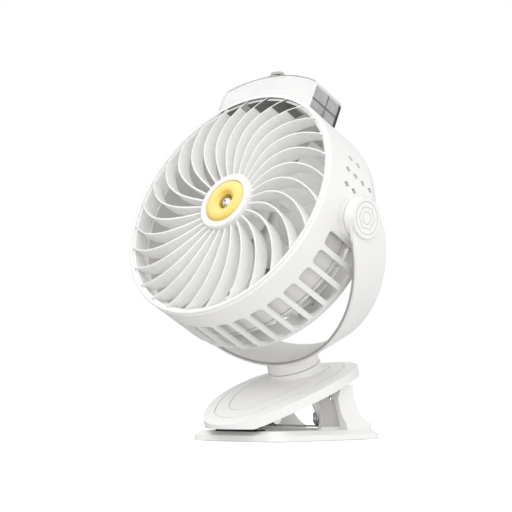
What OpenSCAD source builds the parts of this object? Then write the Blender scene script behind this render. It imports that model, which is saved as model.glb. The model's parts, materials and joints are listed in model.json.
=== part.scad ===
// Clip-on misting fan: a round drum fan on a swivelling yoke, held by a sprung clip.
// Millimetres, +Z up.  The origin is the middle of the rubber sole that the clip stands on.
// The fan blows towards -Y; the tilt axis lies along X.

/* [Drum] */
// Outside radius of the drum and of the front lip
drum_r = 82.5; // [78:0.5:90]
// Wall of the drum
drum_wall = 2.4; // [1.8:0.1:3]
// Distance from the front lip to the rear face
drum_len = 66; // [60:1:72]
// Distance of the tilt axis behind the front lip
pivot_depth = 31.7; // [28:0.1:36]
// Radius of the rounded rear shoulder
shoulder_r = 22.5; // [18:0.5:26]
// Distance from the front lip to where the shoulder starts
shoulder_start = 45; // [40:0.5:48]
// Axial thickness of the front lip
lip_t = 3; // [2:0.1:4]
// Width of the front lip's face
lip_w = 2.7; // [2.5:0.1:4]

/* [Air slots and vents] */
// Number of slots round the lower half
slot_count = 17; // [9:2:17]
// Angle between neighbouring slots
slot_pitch = 9.5; // [8:0.1:9.6]
// Width of one slot
slot_w = 10; // [6:0.1:10.4]
// Length of one slot
slot_len = 34.5; // [25:0.5:36]
// Distance from the front lip to the slots
slot_start = 18.3; // [16:0.1:22]
// Corner radius of a slot
slot_corner = 2.8; // [1:0.1:3]
// Length of one diamond vent, along the drum
vent_len = 5.4; // [3:0.1:6]
// Width of one diamond vent, round the drum
vent_w = 4.2; // [3:0.1:5]
// Rows of diamond vents above each pivot
vent_rows = 3; // [1:1:3]

/* [Swirl grille] */
// Number of curved vanes
vane_count = 28; // [20:1:32]
// Thickness of a vane
vane_t = 1.2; // [0.8:0.1:1.6]
// Angle that a vane sweeps back between hub and lip
vane_sweep = 23; // [10:1:30]
// Height of the vanes' bulge in front of the lip
vane_bulge = 4.6; // [2:0.1:6]
// Depth of the vanes behind the front lip
vane_depth = 8; // [6:0.5:11]
// Outside radius of the hub in the middle of the grille
hub_r = 20.5; // [18:0.5:22]
// Height of the hub in front of the lip
hub_rise = 1.8; // [0:0.1:3]
// Outside radius of the coloured ring in the hub
accent_r = 15.5; // [13:0.1:16]

/* [Impeller] */
// Number of impeller blades
blade_count = 7; // [3:1:9]
// Gap between the blade tips and the shroud round them
tip_gap = 5.6; // [4:0.1:14]
// Radius of the impeller's hub
impeller_hub_r = 22; // [20:0.5:24]
// Blade angle at the hub, from the plane of rotation
blade_root_angle = 42; // [30:1:45]
// Blade angle at the tip, from the plane of rotation
blade_tip_angle = 26; // [20:1:35]

/* [Power unit] */
// Radius of the motor
motor_r = 13; // [11:0.5:15]
// Radius of the motor shaft
shaft_r = 1; // [1:0.1:1.5]
// Outside radius of the pod at the back
pod_r = 42; // [41:0.5:44]
// Distance from the front lip to the back of the pod
pod_end = 84; // [83:0.5:88]
// Radius of one battery cell
cell_r = 9.1; // [9:0.05:9.2]
// Length of one battery cell
cell_len = 65; // [60:0.5:65.5]
// Radius of a push button
button_r = 5; // [4:0.1:5.5]
// Travel of a push button
button_travel = 0.8; // [0.5:0.1:0.9]

/* [Water tank] */
// Width of the tank across the drum
tank_w = 84; // [60:1:90]
// Height of the tank above the drum
tank_h = 17; // [12:0.5:20]
// Length of the tank along the drum
tank_len = 27.6; // [22:0.1:28.5]
// Distance from the front lip to the tank
tank_start = 4; // [3.5:0.5:5]
// Wall of the tank
tank_wall = 1.8; // [1.2:0.1:2.4]

/* [Yoke] */
// Gap between the edge of the turning drum and the yoke's strap
yoke_gap = 2.8; // [2:0.1:6]
// Thickness of the strap
yoke_t = 2.7; // [2.2:0.1:4]
// Width of the strap
yoke_w = 33; // [30:0.5:36]
// Radius of the pivot hubs, bosses and caps
knob_r = 13.5; // [12:0.1:14.5]
// Lean of the yoke and of its swivel axis towards the front
lean = 22.4; // [15:0.2:26]
// Height of the fan's axis above the horizontal
head_tilt = 26.2; // [0:0.2:60]
// Height of the neck, from the inside of the strap to its foot
neck_h = 17.2; // [15:0.1:22]
// Radius of the neck collar
collar_r = 17.6; // [15:0.1:19]

/* [Clip] */
// Length of the base plate
base_len = 109; // [100:1:116]
// Width of the base plate
base_w = 80; // [74:1:90]
// Thickness of the base plate with its rubber sole
base_h = 7; // [6:0.1:9]
// Length of the top jaw along its slope
jaw_len = 129; // [124:0.5:132]
// Width of the top jaw
jaw_w = 83; // [81:0.5:90]
// Radius of the top jaw's dome
jaw_crown = 265; // [240:5:320]
// Depth of the top jaw's skirt
skirt_h = 6.6; // [5:0.1:8]
// Wall of the top jaw
jaw_wall = 2.4; // [2:0.1:3]
// Place of the hinge pin along the base, behind its middle
hinge_y = 9.7; // [7:0.1:12]
// Height of the hinge pin
hinge_z = 14.8; // [14.4:0.1:16]
// Radius of the hinge pin
pin_r = 1.75; // [1.5:0.05:2]
// Height of the neck's foot
neck_z = 42; // [41:0.1:44]
// Outside radius of the spring's coils
coil_r = 6.2; // [5:0.1:6.6]
// Radius of the spring's wire
wire_r = 0.7; // [0.6:0.05:0.85]
// Angle that the clip opens
jaw_open = 20; // [12:1:20]

/* [Fits] */
// Gap between pieces that move past each other
gap = 0.3; // [0.2:0.05:0.5]
// Radial clearance of a pin or shaft that turns
run_fit = 0.06; // [0.03:0.01:0.1]
// Radial clearance of pieces pushed together for good
seat_fit = 0.1; // [0.05:0.01:0.2]

/* [Hidden] */
$fn = 96;
eps = 0.01;

// Sizes and places worked out from the values above
yoke_r = norm([drum_r, pivot_depth]) + yoke_gap;
neck_len = yoke_r + neck_h;
pivot_y = hinge_y - neck_len * sin(lean);
pivot_z = neck_z + neck_len * cos(lean);
rim_z = pivot_depth;

// ---------------------------------------------------------------- placing

// Frame of the yoke: origin at the tilt axis, +Z up the swivel axis
module yoke_frame() translate([0, pivot_y, pivot_z]) rotate([lean, 0, 0]) children();

// Frame of the head: origin at the tilt axis, +Z out of the front, +Y towards the tank
module head_frame() translate([0, pivot_y, pivot_z]) rotate([90 - head_tilt, 0, 0]) children();

// A place in the head at a distance behind the front lip
module behind_lip(s) translate([0, 0, rim_z - s]) children();

// A shape in the YZ plane, thickened along X from x0 to x1
module slab_x(x0, x1) translate([x0, 0, 0]) rotate([90, 0, 90]) linear_extrude(x1 - x0) children();

// Both sides of the object
module both_sides() {
    children();
    mirror([1, 0, 0]) children();
}

// ---------------------------------------------------------------- shapes

module ring(r_out, r_in, h) {
    difference() {
        cylinder(r = r_out, h = h);
        translate([0, 0, -1]) cylinder(r = r_in, h = h + 2);
    }
}

module rounded_rect(w, l, r) {
    square([w - 2 * r, l], center = true);
    square([w, l - 2 * r], center = true);
    for (x = [-1, 1], y = [-1, 1])
        translate([x * (w / 2 - r), y * (l / 2 - r)]) circle(r = r, $fn = 48);
}

// Solid through a row of four-cornered sections
module loft(sections) {
    last = 4 * (len(sections) - 1);
    sides = [
        for (a = [0 : 4 : last - 4], k = [0 : 3])
            let (p = a + k, q = a + (k + 1) % 4)
                each [[p, q, q + 4], [p, q + 4, p + 4]]
    ];
    caps = [[0, 3, 2], [0, 2, 1], [last, last + 1, last + 2], [last, last + 2, last + 3]];
    polyhedron([for (s = sections, p = s) p], concat(sides, caps), convexity = 4);
}

// Oval of four arcs, with half lengths a along Y and b along X, and end radius e.
// The side arcs stop arc_join short of the tangent point, a step of under 0.01 mm.
arc_join = 1;
module oval(a, b, e) {
    d = a - e;
    k = b - e;
    c = (d * d - k * k) / (2 * k);
    side_r = b + c;
    tangent_y = d * side_r / (side_r - e);
    for (y = [-1, 1]) translate([0, y * d]) circle(r = e);
    intersection() {
        translate([-c, 0]) circle(r = side_r, $fn = 200);
        translate([c, 0]) circle(r = side_r, $fn = 200);
        square([2 * b + 2, 2 * (tangent_y - arc_join)], center = true);
    }
}

// ---------------------------------------------------------------- clip: base

sole_t = 1.2;
sole_sink = 0.8;
plate_z = sole_t - sole_sink;
base_corner = 11;
base_band = 3.7;
base_shoulder = 4.5;
sink = 2;
sole_margin = 6;

cheek_x = 32.8;
cheek_front = 14.3;
cheek_back = 30;
cheek_round = 9.1;
cheek_lean = 18;
flare_r = 30;
flare_side_r = 12;
ear_x = 29.3;
ear_t = 3;
horn_front = -4.5;
horn_back = 5;
horn_top = 30.8;
notch_y = 12;
notch_z = 25.5;
waist_y = 2.2;
waist_r = 16;
pin_bed = 0.8;

// Top face of the base plate inside its sloping shoulder
module plate_top() {
    rounded_rect(base_w - 2 * base_shoulder, base_len - 2 * base_shoulder, base_corner - base_shoulder);
}

module base_plate() {
    hull() {
        translate([0, 0, plate_z])
            linear_extrude(base_band) rounded_rect(base_w, base_len, base_corner);
        translate([0, 0, base_h - eps]) linear_extrude(eps) plate_top();
    }
}

// The cheek seen from the side: a leaning front edge, a round top and a hollow sweep at the back
module cheek_outline() {
    top_y = cheek_front + cheek_round;
    top_z = cheek_top - cheek_round;
    touch = [top_y - cheek_round * cos(cheek_lean), top_z - cheek_round * sin(cheek_lean)];
    foot_z = base_h - sink;
    foot_y = touch[0] + (touch[1] - foot_z) * tan(cheek_lean);
    difference() {
        union() {
            polygon([[foot_y, foot_z], touch, [top_y, top_z], [top_y, cheek_top],
                [base_len, cheek_top], [base_len, foot_z]]);
            translate([top_y, top_z]) circle(r = cheek_round);
        }
        translate([cheek_back + flare_r, base_h + flare_r]) circle(r = flare_r);
        translate([cheek_back, base_h + flare_r]) square(base_len);
        translate([cheek_back + flare_r, base_h]) square(base_len);
    }
}

// The cheek seen from the front: upright, and swept outwards at its foot
module cheek_section() {
    difference() {
        translate([0, base_h - sink]) square([cheek_x + flare_side_r, cheek_top]);
        translate([cheek_x + flare_side_r, base_h + flare_side_r]) circle(r = flare_side_r);
        translate([cheek_x, base_h + flare_side_r]) square(base_w);
    }
}

module cheek() {
    intersection() {
        slab_x(ear_x - ear_t, base_w / 2) cheek_outline();
        translate([0, base_len, 0]) rotate([90, 0, 0]) linear_extrude(2 * base_len) cheek_section();
        linear_extrude(base_len) plate_top();
    }
}

// Ear that holds the pin: waisted beside the coil, with a horn under the jaw
module base_ear() {
    difference() {
        polygon([[horn_front, base_h - sink], [horn_front, horn_top], [horn_back, horn_top],
            [notch_y, notch_z], [cheek_back - 4, notch_z], [cheek_back - 4, base_h - sink]]);
        translate([waist_y - waist_r, hinge_z]) circle(r = waist_r);
    }
}

module base_jaw() color("#f4f2ee") {
    difference() {
        union() {
            base_plate();
            both_sides() {
                cheek();
                slab_x(ear_x - ear_t, ear_x) base_ear();
            }
        }
        both_sides() translate([0, hinge_y, hinge_z]) rotate([0, 90, 0])
            cylinder(r = pin_r + seat_fit, h = ear_x - pin_bed);
        translate([0, 0, -1]) linear_extrude(sole_t + 1)
            rounded_rect(base_w - 2 * sole_margin + 2 * seat_fit,
                base_len - 2 * sole_margin + 2 * seat_fit, base_corner - 4);
        translate([0, pad_y, base_h - pad_sink])
            linear_extrude(pad_sink + 1) rounded_rect(pad_w + 2 * seat_fit, pad_len + 2 * seat_fit, 3);
    }
}

module sole_pad() color("#2c2c2e")
    linear_extrude(sole_t) rounded_rect(base_w - 2 * sole_margin, base_len - 2 * sole_margin,
        base_corner - 4);

pad_w = 40;
pad_len = 8;
pad_t = 1.6;
pad_sink = 0.6;
pad_y = -base_len / 2 + base_shoulder + pad_len / 2 - 0.5;

module lower_grip_pad() color("#1b1b1c")
    translate([0, pad_y, base_h - pad_sink]) linear_extrude(pad_t) rounded_rect(pad_w, pad_len, 3);

// ---------------------------------------------------------------- clip: hinge

pin_end = ear_x - pin_bed - gap / 2;
clip_t = 0.8;
clip_rim = 3.2;
jaw_ear_t = 2;
jaw_ear_x = ear_x - ear_t - gap;
coil_x1 = jaw_ear_x - jaw_ear_t - gap;
coil_turns = 3;
coil_pitch = 2 * wire_r + 0.1;
coil_x0 = coil_x1 - coil_turns * coil_pitch;
pin_start = coil_x0 - 2 * clip_t;
sleeve_r = coil_r - 2 * wire_r - gap;
spring_leg = 15;

// A pin on each side: a thick sleeve inside the coil, and a thin end through the jaw into the ear
module hinge_pin() color("#b9bcc0")
    both_sides() translate([0, hinge_y, hinge_z]) rotate([0, 90, 0]) {
        difference() {
            translate([0, 0, pin_start]) cylinder(r = pin_r, h = pin_end - pin_start);
            translate([0, 0, pin_start + clip_t / 2]) ring(pin_r + 1, pin_r - 0.4, clip_t);
        }
        translate([0, 0, coil_x0 - gap / 2]) cylinder(r = sleeve_r, h = coil_x1 - coil_x0);
    }

module pin_clips() color("#8d9094")
    both_sides() translate([pin_start + clip_t / 2, hinge_y, hinge_z]) rotate([0, 90, 0])
        difference() {
            cylinder(r = pin_r + clip_rim, h = clip_t);
            translate([0, 0, -1]) cylinder(r = pin_r - 0.4, h = clip_t + 2);
            translate([-pin_r / 2, -pin_r - clip_rim, -1]) cube([pin_r, pin_r + clip_rim, clip_t + 2]);
        }

// Round wire between two points
module wire(p, q) {
    v = q - p;
    len = norm(v);
    translate(p) rotate([0, acos(v[2] / len), atan2(v[1], v[0])])
        cylinder(r = 0.9 * wire_r, h = len, $fn = 24);
}

// Double torsion spring: two coils joined by a straight wire, each with a leg up to the jaw
module clip_spring() color("#6f7174") {
    mid_r = coil_r - wire_r;
    inner = coil_x0 + 0.5 * coil_pitch;
    outer = coil_x1 - 0.5 * coil_pitch;
    leg_y = hinge_y + spring_leg;
    wire([-inner, hinge_y, hinge_z - mid_r], [inner, hinge_y, hinge_z - mid_r]);
    both_sides() {
        for (i = [0 : coil_turns - 1])
            translate([coil_x0 + (i + 0.5) * coil_pitch, hinge_y, hinge_z]) rotate([0, 90, 0])
                rotate_extrude() translate([mid_r, 0]) circle(r = wire_r, $fn = 24);
        wire([outer, hinge_y + mid_r * 0.5, hinge_z + mid_r * 0.87],
            [outer, leg_y, jaw_under(outer, leg_y, 0) - wire_r - gap]);
        for (i = [0 : coil_turns - 2])
            translate([coil_x0 + (i + 0.5) * coil_pitch, hinge_y, hinge_z - mid_r])
                rotate([0, 90, 0]) cylinder(r = 0.8 * wire_r, h = coil_pitch, $fn = 24);
    }
}

// ---------------------------------------------------------------- clip: top jaw

jaw_mid_y = -8.3;
jaw_mid_z = neck_z - 2.8;
jaw_slope = 18.7;
jaw_end_r = 32;
jaw_top_t = 2.6;
jaw_floor = base_h - pad_sink + pad_t + gap;
jaw_high = 2 * neck_z;
jaw_ear_r = 5;
boss_depth = 6;
boss_r = 8;
groove_w = 0.7;
groove_d = 0.6;

// Middle of the dome's sphere, and the same with the jaw opened by an angle
crown_y = jaw_mid_y + jaw_crown * sin(jaw_slope);
crown_z = jaw_mid_z - jaw_crown * cos(jaw_slope);
function crown_at(open) =
    let (y = crown_y - hinge_y, z = crown_z - hinge_z)
    [hinge_y + y * cos(open) + z * sin(open), hinge_z - y * sin(open) + z * cos(open)];

// Height of the dome's underside at a place, with the jaw opened by an angle
function jaw_under(x, y, open) =
    let (c = crown_at(open))
    c[1] + sqrt(pow(jaw_crown - jaw_top_t, 2) - x * x - pow(y - c[0], 2));

// Height of the cheeks: the opened jaw stops just above them
cheek_top = jaw_under(cheek_x, cheek_back, jaw_open) - gap;

// Frame of the jaw: origin on top of the dome's middle, +Z out of the dome
module jaw_frame() translate([0, jaw_mid_y, jaw_mid_z]) rotate([jaw_slope, 0, 0]) children();

// Upright column on the jaw's oval, drawn in by an inset
module jaw_column(inset) jaw_frame() translate([0, 0, -jaw_high / 2]) linear_extrude(jaw_high)
    oval(jaw_len / 2 - inset, jaw_w / 2 - inset, jaw_end_r - inset);

// Ball whose top is the dome, let down by a depth
module dome(depth) translate([0, crown_y, crown_z]) sphere(r = jaw_crown - depth, $fn = 240);

module jaw_shell() difference() {
    intersection() {
        jaw_column(0);
        dome(0);
    }
    dome(skirt_h);
    intersection() {
        jaw_column(jaw_wall);
        dome(jaw_top_t);
    }
    translate([-jaw_w, -2 * jaw_len, jaw_floor - jaw_high]) cube([2 * jaw_w, 4 * jaw_len, jaw_high]);
}

module jaw_ear() {
    translate([hinge_y, hinge_z]) {
        circle(r = jaw_ear_r);
        rotate(lean) polygon([[-jaw_ear_r, 0], [-9, 16], [-11, 40], [12, 40], [9, 16], [jaw_ear_r, 0]]);
    }
}

module top_jaw() color("#f4f2ee") {
    difference() {
        union() {
            jaw_shell();
            intersection() {
                dome(jaw_top_t / 2);
                both_sides() slab_x(jaw_ear_x - jaw_ear_t, jaw_ear_x) jaw_ear();
            }
            yoke_frame() translate([0, 0, -neck_len]) {
                cylinder(r = collar_r + 0.5, h = collar_seam);
                translate([0, 0, -boss_depth]) cylinder(r = boss_r, h = boss_depth + 1);
            }
        }
        // grooves that run round the top
        for (inset = [8.3, 18.3])
            difference() {
                jaw_column(inset);
                jaw_column(inset + groove_w);
                dome(groove_d);
            }
        yoke_frame() translate([0, 0, -neck_len - 2 * boss_depth])
            cylinder(r = screw_r + run_fit, h = 4 * boss_depth);
        both_sides() translate([0, hinge_y, hinge_z]) rotate([0, 90, 0])
            cylinder(r = pin_r + run_fit, h = ear_x);
    }
}

// Rubber block under the front of the dome, down to the lower pad
module upper_grip_pad() color("#1b1b1c")
    intersection() {
        translate([0, pad_y, jaw_floor + gap]) linear_extrude(jaw_high)
            rounded_rect(pad_w - 4, pad_len, 3);
        dome(jaw_top_t + gap / 10);
    }

// ---------------------------------------------------------------- yoke

collar_seam = 7.6;
screw_r = 3;
hub_len = 5.9;
cap_t = 1.8;
cap_proud = 1.4;
knob_x = yoke_r + yoke_t + cap_proud;
hub_in = knob_x - cap_t - hub_len;
pivot_r = 3;
cap_well = 3.4;
cap_well_r = 7;

module yoke() color("#f4f2ee") yoke_frame() {
    difference() {
        union() {
            intersection() {
                rotate([90, 0, 0]) translate([0, 0, -yoke_w / 2])
                    ring(yoke_r + yoke_t, yoke_r, yoke_w);
                slab_x(-120, 120) {
                    circle(r = knob_r);
                    translate([-yoke_w / 2, -120]) square([yoke_w, 120 - knob_r]);
                    polygon([[-knob_r, 0], [-yoke_w / 2, -knob_r - 1], [yoke_w / 2, -knob_r - 1],
                        [knob_r, 0]]);
                }
            }
            both_sides() translate([hub_in, 0, 0]) rotate([0, 90, 0])
                cylinder(r = knob_r, h = hub_len);
            translate([0, 0, -neck_len + collar_seam + gap])
                cylinder(r = collar_r, h = neck_len - collar_seam - gap - yoke_r - yoke_t / 2);
        }
        // pivot holes with wells for the screw heads
        both_sides() translate([hub_in - 1, 0, 0]) rotate([0, 90, 0]) {
            cylinder(r = pivot_r + run_fit, h = hub_len + 2);
            translate([0, 0, 1 + hub_len - cap_well]) cylinder(r = cap_well_r, h = cap_well + 1);
        }
        // flats that the caps lie on
        both_sides() translate([hub_in + hub_len, 0, 0]) rotate([0, 90, 0])
            cylinder(r = knob_r + gap, h = 4 * cap_proud);
        // blind hole for the swivel screw
        translate([0, 0, -neck_len]) cylinder(r = screw_r + seat_fit / 2, h = neck_h - yoke_t);
    }
}

washer_t = 1;
screw_head_h = 2.4;
screw_head_r = 5.5;

// Screw from below that holds the yoke to the jaw and lets it swivel
module swivel_screw() color("#a9adb2") yoke_frame() {
    low = -neck_len - boss_depth - gap - washer_t - screw_head_h;
    top = -yoke_r - yoke_t - gap;
    translate([0, 0, low]) cylinder(r = screw_r, h = top - low);
    translate([0, 0, low]) cylinder(r = screw_head_r, h = screw_head_h);
}

module swivel_washer() color("#c9ccd0") yoke_frame()
    translate([0, 0, -neck_len - boss_depth - gap - washer_t])
        ring(boss_r - 1, screw_r + seat_fit, washer_t);

// Round cap with a groove, a six-sided recess and a centre boss
module pivot_cap() {
    difference() {
        union() {
            translate([0, 0, hub_len]) cylinder(r = knob_r - 0.4, h = cap_t);
            translate([0, 0, hub_len]) cylinder(r = knob_r, h = cap_t - 0.5);
            translate([0, 0, hub_len - 1.2]) ring(cap_well_r - seat_fit, 5.6, 1.4);
        }
        translate([0, 0, hub_len + cap_t - 0.5]) ring(10.9, 10.2, 1);
        translate([0, 0, hub_len + cap_t - 0.4]) difference() {
            cylinder(r = 8, h = 1, $fn = 6);
            translate([0, 0, -1]) cylinder(r = 7.4, h = 3, $fn = 6);
        }
        translate([0, 0, hub_len + cap_t - 0.4]) ring(4.2, 3.7, 1);
    }
}

module pivot_caps() color("#f4f2ee") yoke_frame()
    both_sides() translate([hub_in, 0, 0]) rotate([0, 90, 0]) pivot_cap();

// ---------------------------------------------------------------- drum

lip_seat_t = 2;
ledge_t = 2.3;
ledge_s = drum_len - 4;
ledge_r = drum_r - shoulder_r + 1.5;
rear_lip_r = ledge_r + 5.5;
boss_end = hub_in - 2 * gap;
insert_r = 2.4;
seat_s = 16;
seat_r = 7;
stub_r = 4;
pivot_boss_r = 5;

// Side view of the drum's wall, revolved about the fan's axis
module drum_profile() {
    difference() {
        union() {
            translate([0, rim_z - shoulder_start]) square([drum_r, shoulder_start - lip_t]);
            translate([drum_r - shoulder_r, rim_z - shoulder_start]) circle(r = shoulder_r);
            translate([0, rim_z - drum_len]) square([drum_r - shoulder_r, drum_len - lip_t]);
        }
        difference() {
            union() {
                translate([-1, rim_z - shoulder_start]) square([drum_r - drum_wall + 1, 80]);
                translate([drum_r - shoulder_r, rim_z - shoulder_start])
                    circle(r = shoulder_r - drum_wall);
                translate([-1, rim_z - shoulder_start - shoulder_r + drum_wall])
                    square([drum_r - shoulder_r + 1, shoulder_r]);
            }
            translate([ledge_r, rim_z - drum_len - 1]) square([40, drum_len - ledge_s + ledge_t + 1]);
        }
        translate([-1, rim_z - drum_len - 30]) square([ledge_r + 1, 40]);
        translate([-1, rim_z - drum_len - 30]) square([200, 30]);
        translate([-1, rim_z - drum_len - 1]) square([rear_lip_r + 1, drum_len - ledge_s + 1]);
        translate([drum_r, -200]) square(400);
        translate([-100, rim_z - lip_t]) square(300);
    }
}

// Radial cutter with rounded corners for one air slot
module slot_cutter() {
    translate([drum_r - 12, 0, rim_z - slot_start - slot_len / 2]) rotate([0, 90, 0])
        linear_extrude(20) rounded_rect(slot_len, slot_w, slot_corner);
}

// Diamond vents: how many each row has and where it starts behind the lip
vent_step = 8;
vent_angle = 13.8;
vent_row_step = 8.6;
vent_count = [2, 4, 2];
vent_first = [20.3, 21.4, 26];

module vents() {
    for (row = [0 : vent_rows - 1], i = [0 : vent_count[row] - 1])
        rotate([0, 0, vent_angle + row * vent_row_step - i * 0.5])
            translate([drum_r - 12, 0, rim_z - vent_first[row] - i * vent_step]) rotate([0, 90, 0])
                linear_extrude(20) polygon([[-vent_len / 2, 0], [0, vent_w / 2],
                    [vent_len / 2, 0], [0, -vent_w / 2]]);
}

module drum() color("#f4f2ee") head_frame() {
    difference() {
        union() {
            rotate_extrude($fn = 180) drum_profile();
            both_sides() difference() {
                translate([drum_r - 8, 0, 0]) rotate([0, 90, 0])
                    cylinder(r = knob_r, h = boss_end - drum_r + 8);
                translate([0, 0, -50]) cylinder(r = drum_r - drum_wall, h = 100);
            }
            both_sides() translate([drum_r - 12, 0, 0]) rotate([0, 90, 0])
                cylinder(r = pivot_boss_r, h = 12);
            behind_lip(seat_s) rotate([-90, 0, 0]) translate([0, 0, drum_r - 10])
                cylinder(r = seat_r, h = 10 - drum_wall / 2);
        }
        for (i = [0 : slot_count - 1])
            rotate([0, 0, 270 + (i - (slot_count - 1) / 2) * slot_pitch]) slot_cutter();
        both_sides() vents();
        both_sides() translate([drum_r - 10, 0, 0]) rotate([0, 90, 0])
            cylinder(r = insert_r, h = 30);
        // socket for the tank's outlet
        behind_lip(seat_s) rotate([-90, 0, 0]) {
            translate([0, 0, drum_r - 8]) cylinder(r = stub_r + gap, h = 20);
            translate([0, 0, drum_r - 12]) cylinder(r = tube_bore, h = 20);
        }
        for (a = [45 : 90 : 315]) rotate([0, 0, a]) translate([grille_screw_ring, 0, rim_z - ledge_s - 3])
            cylinder(r = small_screw_r - 0.2, h = 12, $fn = 24);
    }
}

small_screw_r = 1.1;
grille_screw_ring = (ledge_r + rear_lip_r) / 2;
tube_bore = 1.5;

screw_sunk = 8;
shoulder_head_r = 5.2;
shoulder_head_t = 1.4;

// Shoulder screw through each yoke hub into the drum's boss
module pivot_screws() color("#a9adb2") head_frame() both_sides() {
    translate([drum_r - screw_sunk, 0, 0]) rotate([0, 90, 0])
        cylinder(r = insert_r - seat_fit / 2, h = boss_end - drum_r + screw_sunk);
    translate([boss_end, 0, 0]) rotate([0, 90, 0])
        cylinder(r = pivot_r, h = hub_in + hub_len - cap_well + gap - boss_end);
    translate([hub_in + hub_len - cap_well + gap, 0, 0]) rotate([0, 90, 0])
        cylinder(r = shoulder_head_r, h = shoulder_head_t);
}

module friction_washers() color("#55565a") head_frame() both_sides()
    translate([boss_end + eps, 0, 0]) rotate([0, 90, 0]) ring(knob_r - 2, pivot_r + seat_fit, gap);

// ---------------------------------------------------------------- front grille and hub

vane_steps = 12;
vane_in = hub_r - 0.6;
vane_out = drum_r - lip_w + 0.3;
sweep_start = 28;
hub_wall = 1.6;
hub_depth = 20;
accent_depth = 4;

// Sweep angle and front edge of a vane at radius r
function vane_turn(r) =
    r < sweep_start ? vane_sweep
    : vane_sweep * (1 - pow((r - sweep_start) / (vane_out - sweep_start), 1.8));
function vane_front(r) = vane_bulge * sin(180 * (vane_out - r) / (vane_out - vane_in));

// The four corners of a vane's section at radius r
function vane_section(r) =
    let (a = vane_turn(r), w = vane_t / 2 / r * 180 / PI,
         f = rim_z + vane_front(r) - 0.4, b = rim_z - vane_depth)
    [
        [r * cos(a - w), r * sin(a - w), f], [r * cos(a + w), r * sin(a + w), f],
        [r * cos(a + w), r * sin(a + w), b], [r * cos(a - w), r * sin(a - w), b]
    ];

module vane() loft([for (i = [0 : vane_steps])
    vane_section(vane_in + (vane_out - vane_in) * i / vane_steps)]);

module front_grille() color("#f4f2ee") head_frame() {
    difference() {
        union() {
            behind_lip(lip_t) ring(drum_r - 0.6, drum_r - lip_w, lip_t);
            behind_lip(lip_t) ring(drum_r, drum_r - lip_w, lip_t - 0.6);
            behind_lip(12) ring(drum_r - drum_wall - seat_fit, drum_r - drum_wall - lip_seat_t, 12 - lip_t / 2);
            behind_lip(hub_depth) cylinder(r = hub_r, h = hub_depth + hub_rise - 0.8);
            behind_lip(0) cylinder(r = hub_r - 0.8, h = hub_rise);
            for (i = [0 : vane_count - 1]) rotate([0, 0, 266.5 + i * 360 / vane_count]) vane();
        }
        behind_lip(hub_depth + 1) cylinder(r = hub_r - hub_wall, h = hub_depth + 1 - accent_depth - hub_wall);
        behind_lip(accent_depth) cylinder(r = accent_r + seat_fit, h = 20);
        behind_lip(30) cylinder(r = nozzle_r + 1.2, h = 40);
        // room for the tank's socket and the way in for the water tube
        behind_lip(seat_s) rotate([-90, 0, 0]) translate([0, 0, hub_r + 10])
            cylinder(r = seat_r + gap, h = drum_r);
        behind_lip(seat_s) rotate([-90, 0, 0]) cylinder(r = tube_r + seat_fit, h = hub_r + 1);
    }
}

nozzle_r = 4.3;
nozzle_neck = 2.4;
ring_in = nozzle_r + 0.9;
tube_r = 2.4;
disc_r = 8;
disc_t = 0.6;
seal_rim = 2.5;

// Glossy dished ring round the nozzle
module accent_ring() color("#f0d55f") head_frame() behind_lip(accent_depth)
    rotate_extrude() difference() {
        union() {
            translate([ring_in, 0]) square([accent_r - ring_in, accent_depth + 0.6]);
            translate([(accent_r + ring_in) / 2, accent_depth + 0.6])
                scale([1, 0.5]) circle(r = (accent_r - ring_in) / 2, $fn = 48);
        }
        polygon([[ring_in - 1, accent_depth + 0.2], [ring_in + 4, accent_depth + 4],
            [ring_in - 1, accent_depth + 4]]);
    }

module mist_nozzle() color("#b5b3b6") head_frame() behind_lip(accent_depth + 1.4) {
    rotate_extrude() difference() {
        union() {
            translate([0, nozzle_neck]) intersection() {
                circle(r = nozzle_r);
                square([nozzle_r, nozzle_r]);
            }
            square([nozzle_r, nozzle_neck + eps]);
        }
        square([nozzle_r - 1, nozzle_neck]);
        translate([0, nozzle_neck - eps]) circle(r = nozzle_r - 1);
        square([0.8, 20]);
    }
    translate([0, 0, -1]) ring(nozzle_r + 1, nozzle_r - 1, 1);
}

module atomiser_disc() color("#c7a55a") head_frame() behind_lip(8.4) ring(disc_r, disc_t, disc_t);

module atomiser_seal() color("#3a3b3d") head_frame() behind_lip(9.4) difference() {
    cylinder(r = disc_r + seal_rim, h = 2.9);
    translate([0, 0, 1]) cylinder(r = disc_r + seat_fit, h = disc_t + 2 * seat_fit);
    translate([0, 0, -1]) cylinder(r = disc_r - seal_rim, h = 5);
}

module wick() color("#f2efe4") head_frame() behind_lip(17.2) cylinder(r = 4, h = 8.6);

module hub_cap() color("#f4f2ee") head_frame() behind_lip(hub_depth + 1.6) {
    cylinder(r = hub_r, h = 1.6);
    difference() {
        translate([0, 0, 1.6]) ring(hub_r - hub_wall - seat_fit, hub_r - hub_wall - 2, 2);
        translate([0, 0, hub_depth + 1.6 - seat_s]) rotate([-90, 0, 0]) cylinder(r = tube_r + 1, h = 30);
    }
}

// Tube that leads the water from the tank's socket to the wick
module water_tube() color("#e9ecee") head_frame() behind_lip(seat_s) rotate([-90, 0, 0]) {
    difference() {
        translate([0, 0, 4.2]) cylinder(r = tube_r, h = drum_r - 10 - 4.2);
        translate([0, 0, 3]) cylinder(r = tube_bore, h = drum_r);
    }
}

module tank_seal() color("#3a3b3d") head_frame() behind_lip(seat_s) rotate([-90, 0, 0])
    translate([0, 0, drum_r - 7]) rotate_extrude() translate([stub_r - 0.6, 0]) circle(r = 0.9, $fn = 24);

// ---------------------------------------------------------------- air shroud and impeller

shroud_gap = 2.9;
shroud_t = 1.6;
shroud_r = drum_r - drum_wall - shroud_gap;
blade_r = shroud_r - shroud_t - tip_gap;
shroud_s0 = 12.2;
shroud_s1 = 41;
seam_s = 38;

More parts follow.
